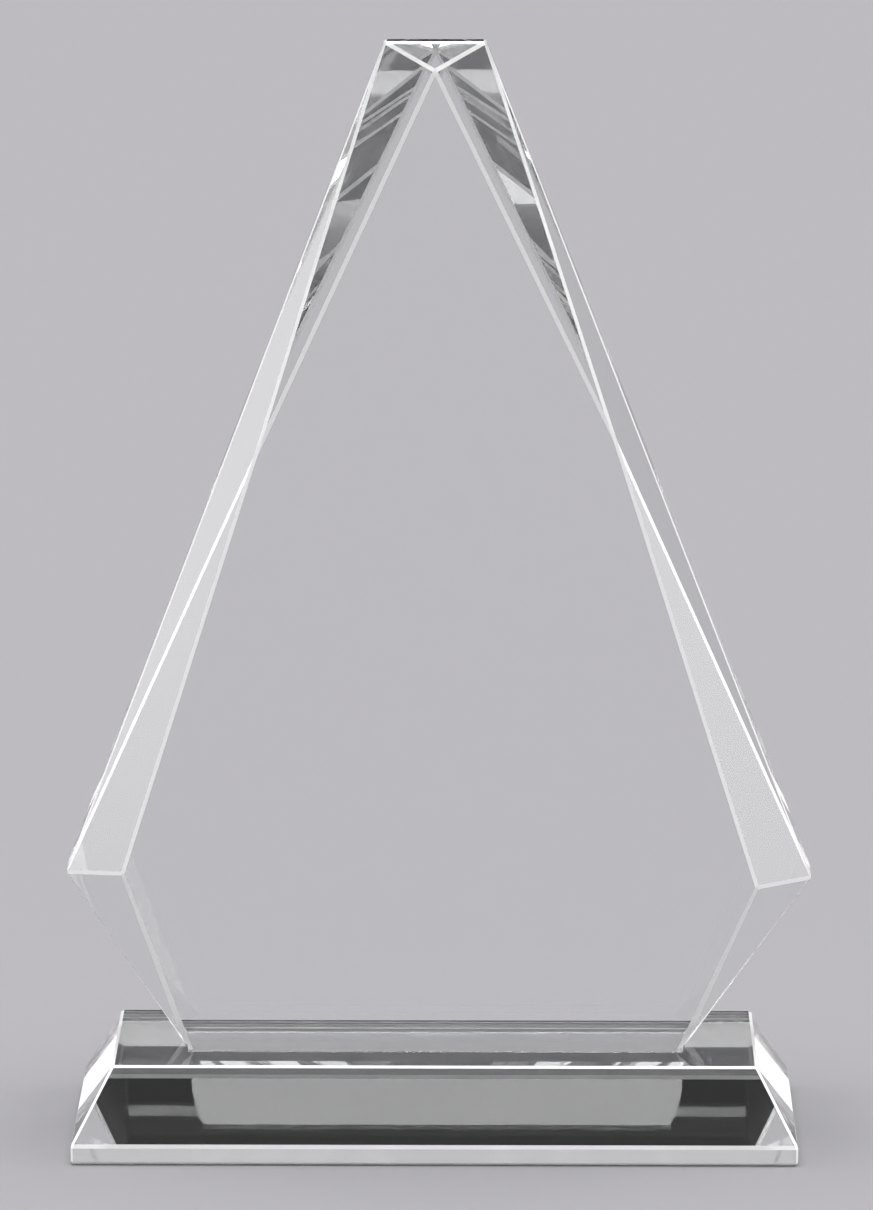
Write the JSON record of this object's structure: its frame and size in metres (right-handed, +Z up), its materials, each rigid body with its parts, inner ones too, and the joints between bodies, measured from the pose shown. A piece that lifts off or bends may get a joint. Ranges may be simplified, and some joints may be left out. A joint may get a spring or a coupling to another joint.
{
  "type": "crystal award",
  "caption": "Arrowhead-shaped award plate of clear optical crystal with bevelled facets, bonded upright on a low rectangular crystal base with sloping sides.",
  "frame": {"origin": "centre of the base's underside", "axes": "+Z up along the plate's height, -Y out of the front face, +X to the right seen from the front"},
  "size_m": [0.1716, 0.0704, 0.254],
  "materials": {
    "plate_crystal": "polished optical crystal",
    "base_crystal": "polished optical crystal",
    "cured_adhesive": "clear cured adhesive"
  },
  "bodies": {
    "root": {"crystal_plate": "plate_crystal", "crystal_base": "base_crystal", "bond_film": "cured_adhesive"}
  },
  "joints": []
}
